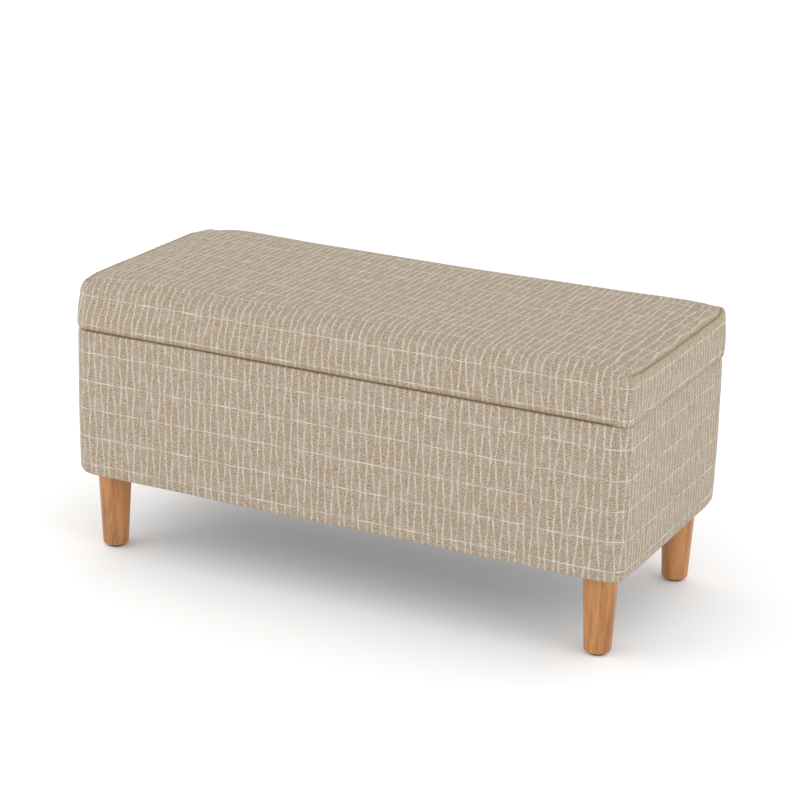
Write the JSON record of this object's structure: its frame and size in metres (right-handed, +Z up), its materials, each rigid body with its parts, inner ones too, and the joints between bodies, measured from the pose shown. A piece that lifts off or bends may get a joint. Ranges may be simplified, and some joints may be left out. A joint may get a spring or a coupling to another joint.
{
  "type": "storage ottoman",
  "caption": "Long upholstered storage bench on turned wooden legs, with a padded lid that hinges up on folding stays over a lined compartment.",
  "frame": {"origin": "on the floor under the middle of the bench", "axes": "+X along the length, -Y towards the front, +Z up; the lid is closed and its hinges are at +Y"},
  "size_m": [1, 0.436, 0.479],
  "materials": {
    "upholstery": "matte",
    "leg_wood": "satin",
    "plywood": "matte",
    "pine": "matte",
    "foam": "matte",
    "lining": "matte",
    "dust_cloth": "matte",
    "zinc_steel": "satin",
    "plastic": "matte",
    "felt": "matte"
  },
  "bodies": {
    "base": {"front_panel": "plywood", "back_panel": "plywood", "left_panel": "plywood", "right_panel": "plywood", "bottom_panel": "plywood", "corner_block_front_left": "pine", "leg_front_left": "leg_wood", "glide_front_left": "plastic", "hanger_bolt_front_left": "zinc_steel", "tee_nut_front_left": "zinc_steel", "corner_block_front_right": "pine", "leg_front_right": "leg_wood", "glide_front_right": "plastic", "hanger_bolt_front_right": "zinc_steel", "tee_nut_front_right": "zinc_steel", "corner_block_back_left": "pine", "leg_back_left": "leg_wood", "glide_back_left": "plastic", "hanger_bolt_back_left": "zinc_steel", "tee_nut_back_left": "zinc_steel", "corner_block_back_right": "pine", "leg_back_right": "leg_wood", "glide_back_right": "plastic", "hanger_bolt_back_right": "zinc_steel", "tee_nut_back_right": "zinc_steel", "body_padding": "foam", "body_cover": "upholstery", "storage_lining": "lining", "dust_cover": "dust_cloth", "hinge_body_leaf_left": "zinc_steel", "hinge_pin_left": "zinc_steel", "stay_wall_bracket_left": "zinc_steel", "stay_wall_rivet_left": "zinc_steel", "rim_bumper_left": "felt", "hinge_body_leaf_right": "zinc_steel", "hinge_pin_right": "zinc_steel", "stay_wall_bracket_right": "zinc_steel", "stay_wall_rivet_right": "zinc_steel", "rim_bumper_right": "felt"},
    "lid": {"lid_board": "plywood", "lid_foam": "foam", "lid_edge_padding": "foam", "lid_cover": "upholstery", "lid_lining": "lining", "hinge_lid_leaf_left": "zinc_steel", "stay_lid_bracket_left": "zinc_steel", "stay_lid_rivet_left": "zinc_steel", "hinge_lid_leaf_right": "zinc_steel", "stay_lid_bracket_right": "zinc_steel", "stay_lid_rivet_right": "zinc_steel"},
    "lower_arm_left": {"stay_lower_arm_left": "zinc_steel", "stay_elbow_rivet_left": "zinc_steel"},
    "upper_arm_left": {"stay_upper_arm_left": "zinc_steel"},
    "lower_arm_right": {"stay_lower_arm_right": "zinc_steel", "stay_elbow_rivet_right": "zinc_steel"},
    "upper_arm_right": {"stay_upper_arm_right": "zinc_steel"}
  },
  "joints": [
    {"name": "lid_hinge", "type": "hinge", "parent": "base", "child": "lid", "pos_m": [0, 0.2156, 0.3935], "axis": [-1, 0, 0], "range_deg": [0, 95]},
    {"name": "stay_wall_pivot_left", "type": "hinge", "parent": "base", "child": "lower_arm_left", "pos_m": [-0.4722, 0.1456, 0.2785], "axis": [-1, 0, 0], "range_deg": [0, 95]},
    {"name": "stay_elbow_left", "type": "hinge", "parent": "lower_arm_left", "child": "upper_arm_left", "pos_m": [-0.4697, -0.0244, 0.2655], "axis": [-1, 0, 0], "range_deg": [-95, 0]},
    {"name": "stay_wall_pivot_right", "type": "hinge", "parent": "base", "child": "lower_arm_right", "pos_m": [0.4722, 0.1456, 0.2785], "axis": [-1, 0, 0], "range_deg": [0, 95]},
    {"name": "stay_elbow_right", "type": "hinge", "parent": "lower_arm_right", "child": "upper_arm_right", "pos_m": [0.4697, -0.0244, 0.2655], "axis": [-1, 0, 0], "range_deg": [-95, 0]}
  ],
  "couplings": [
    {"joint": "stay_wall_pivot_left", "follows": "lid_hinge", "ratio": 1},
    {"joint": "stay_elbow_left", "follows": "lid_hinge", "ratio": -1},
    {"joint": "stay_wall_pivot_right", "follows": "lid_hinge", "ratio": 1},
    {"joint": "stay_elbow_right", "follows": "lid_hinge", "ratio": -1}
  ]
}
